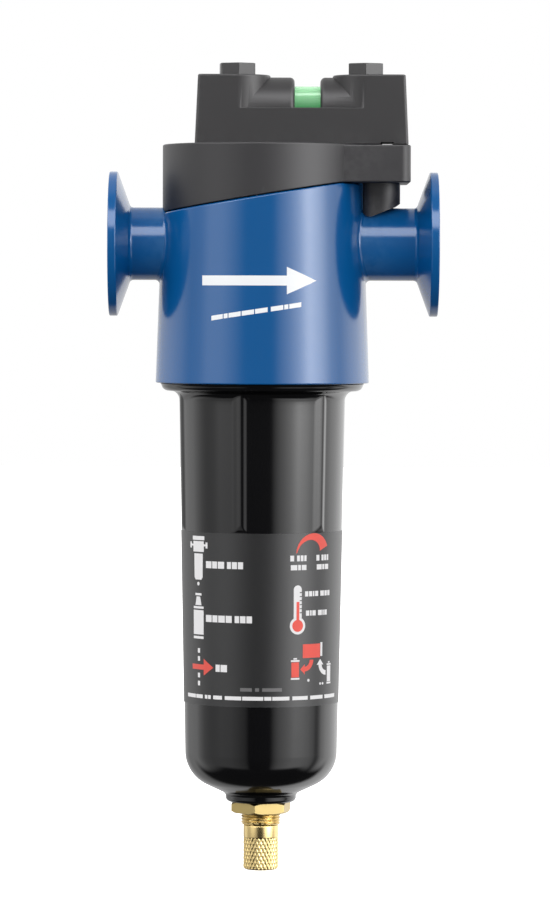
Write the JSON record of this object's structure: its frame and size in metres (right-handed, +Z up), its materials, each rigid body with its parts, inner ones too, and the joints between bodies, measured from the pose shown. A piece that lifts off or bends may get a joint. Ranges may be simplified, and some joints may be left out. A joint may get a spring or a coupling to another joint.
{
  "type": "compressed air filter",
  "caption": "Inline compressed air filter with a clamp-ferrule head, screw-on bowl, push-fit cartridge, float drain and a sliding differential-pressure indicator.",
  "frame": {"origin": "the centre of the inlet face, on the port axis", "axes": "+X along the port axis to the outlet, -Y to the front, +Z up, with the bowl axis 53.7 mm along +X"},
  "size_m": [0.115, 0.0748, 0.2829],
  "materials": {
    "blue_paint": "gloss",
    "cover_plastic": "satin",
    "housing_plastic": "satin",
    "sight_glass": "clear",
    "piston_green": "gloss",
    "spring_steel": "bright",
    "plug_plastic": "satin",
    "rubber": "matte",
    "screw_black": "satin black oxide",
    "black_paint": "gloss",
    "label_film": "matte film",
    "cap_plastic": "satin",
    "core_steel": "bright",
    "media": "matte",
    "sleeve_foam": "open foam",
    "brass": "turned",
    "acetal": "satin",
    "float_foam": "satin"
  },
  "bodies": {
    "head": {"head_casting": "blue_paint", "head_cover": "cover_plastic", "indicator_housing": "housing_plastic", "sight_tube": "sight_glass", "sight_tube_seals": "rubber", "indicator_spring": "spring_steel", "indicator_end_plug": "plug_plastic", "end_plug_o_ring": "rubber", "hollow_screws": "screw_black", "screw_seals": "rubber", "turret_seals": "rubber"},
    "indicator_piston": {"indicator_piston": "piston_green"},
    "bowl_seal": {"bowl_o_ring": "rubber"},
    "bowl": {"bowl": "black_paint", "bowl_label": "label_film", "drain_stem": "brass", "drain_o_ring": "rubber", "drain_nut": "brass", "float_guide": "acetal", "float_cage": "acetal", "float_cage_cap": "acetal"},
    "cartridge": {"cartridge_top_cap": "cap_plastic", "cartridge_o_ring": "rubber", "cartridge_inner_core": "core_steel", "cartridge_media": "media", "cartridge_outer_core": "core_steel", "cartridge_drain_sleeve": "sleeve_foam", "cartridge_bottom_cap": "cap_plastic"},
    "drain_pin": {"drain_pin": "brass", "drain_valve_seal": "rubber"},
    "drain_knob": {"drain_knob": "brass"},
    "float": {"float": "float_foam", "float_needle": "spring_steel", "float_cross_pin": "spring_steel"}
  },
  "joints": [
    {"name": "indicator_slide", "type": "slide", "parent": "head", "child": "indicator_piston", "axis": [1, 0, 0], "range_m": [0, 0.009], "deforming": ["indicator_spring"]},
    {"name": "bowl_travel", "type": "slide", "parent": "head", "child": "bowl_seal", "axis": [0, 0, -1], "range_m": [0, 0.0125]},
    {"name": "bowl_turn", "type": "hinge", "parent": "bowl_seal", "child": "bowl", "pos_m": [0.0537, 0, -0.0486], "axis": [0, 0, -1], "range_deg": [0, 1800]},
    {"name": "cartridge_pull", "type": "slide", "parent": "head", "child": "cartridge", "axis": [0, 0, -1], "range_m": [0, 0.012]},
    {"name": "drain_travel", "type": "slide", "parent": "bowl", "child": "drain_pin", "axis": [0, 0, -1], "range_m": [0, 0.001]},
    {"name": "drain_turn", "type": "hinge", "parent": "drain_pin", "child": "drain_knob", "pos_m": [0.0537, 0, -0.21], "axis": [0, 0, -1], "range_deg": [0, 360]},
    {"name": "float_rise", "type": "slide", "parent": "bowl", "child": "float", "axis": [0, 0, 1], "range_m": [0, 0.006]}
  ],
  "couplings": [
    {"joint": "bowl_travel", "follows": "bowl_turn", "m_per_rad": 0.00039789},
    {"joint": "drain_travel", "follows": "drain_turn", "m_per_rad": 0.00015915}
  ]
}
